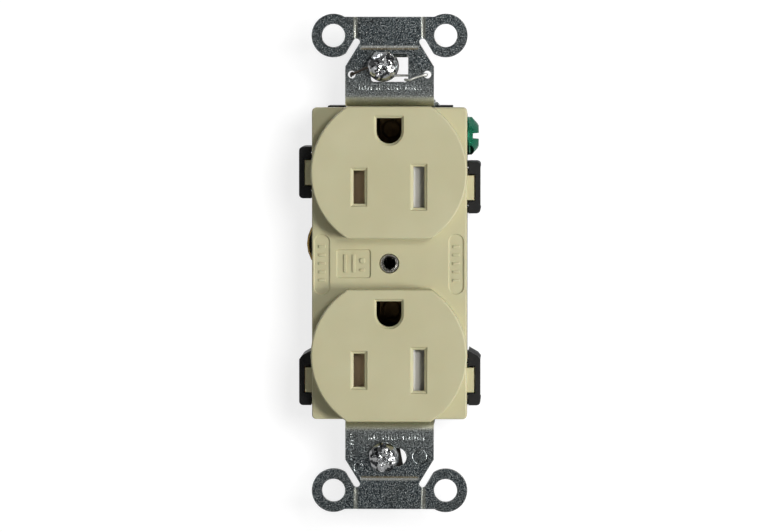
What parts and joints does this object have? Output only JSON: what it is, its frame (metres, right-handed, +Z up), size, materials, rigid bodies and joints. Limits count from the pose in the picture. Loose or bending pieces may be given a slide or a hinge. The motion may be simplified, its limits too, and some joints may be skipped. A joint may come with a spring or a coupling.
{
  "type": "duplex wall outlet",
  "caption": "Tamper-resistant duplex wall outlet with an ivory face, black body, wrap-around steel mounting strap, side wiring screws, green ground screw and mounting screws.",
  "frame": {"origin": "centre of the outlet, midway between its two faces, on the mounting plane, which is the rear face of the strap's ears", "axes": "+Z up with the ground holes above the blade slots, +X to the right seen from the front, +Y into the wall"},
  "size_m": [0.0386, 0.0289, 0.1062],
  "materials": {
    "ivory_nylon": "satin moulded nylon",
    "black_nylon": "satin moulded nylon",
    "zinc_plated_steel": "spangled galvanised steel",
    "bright_screw_plate": "bright nickel plate",
    "brass": "plain brass strip",
    "nickel_plate": "nickel plated brass",
    "green_screw": "green dyed zinc plate",
    "brown_shutter": "moulded plastic",
    "pale_shutter": "moulded plastic",
    "natural_nylon": "natural nylon",
    "black_fibre": "vulcanised fibre",
    "spring_steel": "bright spring wire"
  },
  "bodies": {
    "outlet": {"face_cover": "ivory_nylon", "back_body": "black_nylon", "mounting_strap": "zinc_plated_steel", "threaded_post": "nickel_plate", "grounding_wire": "spring_steel", "hot_contact_bus": "brass", "neutral_contact_bus": "nickel_plate", "upper_ground_contact": "brass", "upper_ground_rivet": "brass", "upper_shutter_tray": "natural_nylon", "upper_shutter_spring": "spring_steel", "lower_ground_contact": "brass", "lower_ground_rivet": "brass", "lower_shutter_tray": "natural_nylon", "lower_shutter_spring": "spring_steel"},
    "upper_hot_shutter": {"upper_hot_shutter": "brown_shutter"},
    "upper_neutral_shutter": {"upper_neutral_shutter": "pale_shutter"},
    "lower_hot_shutter": {"lower_hot_shutter": "brown_shutter"},
    "lower_neutral_shutter": {"lower_neutral_shutter": "pale_shutter"},
    "hot_upper_clamp_plate": {"hot_upper_clamp_plate": "brass"},
    "hot_upper_terminal_screw": {"hot_upper_terminal_screw": "brass"},
    "hot_lower_clamp_plate": {"hot_lower_clamp_plate": "brass"},
    "hot_lower_terminal_screw": {"hot_lower_terminal_screw": "brass"},
    "neutral_upper_clamp_plate": {"neutral_upper_clamp_plate": "nickel_plate"},
    "neutral_upper_terminal_screw": {"neutral_upper_terminal_screw": "nickel_plate"},
    "neutral_lower_clamp_plate": {"neutral_lower_clamp_plate": "nickel_plate"},
    "neutral_lower_terminal_screw": {"neutral_lower_terminal_screw": "nickel_plate"},
    "ground_clamp_plate": {"ground_clamp_plate": "brass"},
    "ground_screw": {"ground_screw": "green_screw"},
    "upper_screw_retainer": {"upper_screw_retainer": "black_fibre"},
    "upper_mounting_screw": {"upper_mounting_screw": "bright_screw_plate"},
    "lower_screw_retainer": {"lower_screw_retainer": "black_fibre"},
    "lower_mounting_screw": {"lower_mounting_screw": "bright_screw_plate"}
  },
  "joints": [
    {"name": "upper_hot_shutter_slide", "type": "slide", "parent": "outlet", "child": "upper_hot_shutter", "axis": [1, 0, 0], "range_m": [0, 0.00275], "stiffness_N_per_m": 60, "springref_m": -0.001, "deforming": ["upper_shutter_spring"]},
    {"name": "upper_neutral_shutter_slide", "type": "slide", "parent": "outlet", "child": "upper_neutral_shutter", "axis": [-1, 0, 0], "range_m": [0, 0.00275], "stiffness_N_per_m": 60, "springref_m": -0.001},
    {"name": "lower_hot_shutter_slide", "type": "slide", "parent": "outlet", "child": "lower_hot_shutter", "axis": [1, 0, 0], "range_m": [0, 0.00275], "stiffness_N_per_m": 60, "springref_m": -0.001, "deforming": ["lower_shutter_spring"]},
    {"name": "lower_neutral_shutter_slide", "type": "slide", "parent": "outlet", "child": "lower_neutral_shutter", "axis": [-1, 0, 0], "range_m": [0, 0.00275], "stiffness_N_per_m": 60, "springref_m": -0.001},
    {"name": "hot_upper_clamp_plate_slide", "type": "slide", "parent": "outlet", "child": "hot_upper_clamp_plate", "axis": [-1, 0, 0], "range_m": [0, 0.0024]},
    {"name": "hot_upper_terminal_screw_turn", "type": "hinge", "parent": "hot_upper_clamp_plate", "child": "hot_upper_terminal_screw", "pos_m": [-0.0163, 0.009, 0.0193], "axis": [-1, 0, 0], "range_deg": [0, 1088.5]},
    {"name": "hot_lower_clamp_plate_slide", "type": "slide", "parent": "outlet", "child": "hot_lower_clamp_plate", "axis": [-1, 0, 0], "range_m": [0, 0.0024]},
    {"name": "hot_lower_terminal_screw_turn", "type": "hinge", "parent": "hot_lower_clamp_plate", "child": "hot_lower_terminal_screw", "pos_m": [-0.0163, 0.009, -0.0249], "axis": [-1, 0, 0], "range_deg": [0, 1088.5]},
    {"name": "neutral_upper_clamp_plate_slide", "type": "slide", "parent": "outlet", "child": "neutral_upper_clamp_plate", "axis": [1, 0, 0], "range_m": [0, 0.0024]},
    {"name": "neutral_upper_terminal_screw_turn", "type": "hinge", "parent": "neutral_upper_clamp_plate", "child": "neutral_upper_terminal_screw", "pos_m": [0.0163, 0.009, 0.0161], "axis": [1, 0, 0], "range_deg": [0, 1088.5]},
    {"name": "neutral_lower_clamp_plate_slide", "type": "slide", "parent": "outlet", "child": "neutral_lower_clamp_plate", "axis": [1, 0, 0], "range_m": [0, 0.0024]},
    {"name": "neutral_lower_terminal_screw_turn", "type": "hinge", "parent": "neutral_lower_clamp_plate", "child": "neutral_lower_terminal_screw", "pos_m": [0.0163, 0.009, -0.0249], "axis": [1, 0, 0], "range_deg": [0, 1088.5]},
    {"name": "ground_clamp_plate_slide", "type": "slide", "parent": "outlet", "child": "ground_clamp_plate", "axis": [1, 0, 0], "range_m": [0, 0.0024]},
    {"name": "ground_screw_turn", "type": "hinge", "parent": "ground_clamp_plate", "child": "ground_screw", "pos_m": [0.0163, 0.009, 0.027], "axis": [1, 0, 0], "range_deg": [0, 1088.5]},
    {"name": "upper_screw_shift", "type": "slide", "parent": "outlet", "child": "upper_screw_retainer", "axis": [1, 0, 0], "range_m": [0, 0.0035]},
    {"name": "upper_mounting_screw_turn", "type": "hinge", "parent": "upper_screw_retainer", "child": "upper_mounting_screw", "pos_m": [-0.00145, 0, 0.04202], "axis": [0, 1, 0], "continuous": true},
    {"name": "lower_screw_shift", "type": "slide", "parent": "outlet", "child": "lower_screw_retainer", "axis": [1, 0, 0], "range_m": [-0.00055, 0.00305]},
    {"name": "lower_mounting_screw_turn", "type": "hinge", "parent": "lower_screw_retainer", "child": "lower_mounting_screw", "pos_m": [-0.00125, 0, -0.0413], "axis": [0, 1, 0], "continuous": true}
  ],
  "couplings": [
    {"joint": "upper_neutral_shutter_slide", "follows": "upper_hot_shutter_slide", "ratio": 1},
    {"joint": "lower_neutral_shutter_slide", "follows": "lower_hot_shutter_slide", "ratio": 1},
    {"joint": "hot_upper_clamp_plate_slide", "follows": "hot_upper_terminal_screw_turn", "m_per_rad": 0.00012633},
    {"joint": "hot_lower_clamp_plate_slide", "follows": "hot_lower_terminal_screw_turn", "m_per_rad": 0.00012633},
    {"joint": "neutral_upper_clamp_plate_slide", "follows": "neutral_upper_terminal_screw_turn", "m_per_rad": 0.00012633},
    {"joint": "neutral_lower_clamp_plate_slide", "follows": "neutral_lower_terminal_screw_turn", "m_per_rad": 0.00012633},
    {"joint": "ground_clamp_plate_slide", "follows": "ground_screw_turn", "m_per_rad": 0.00012633}
  ]
}
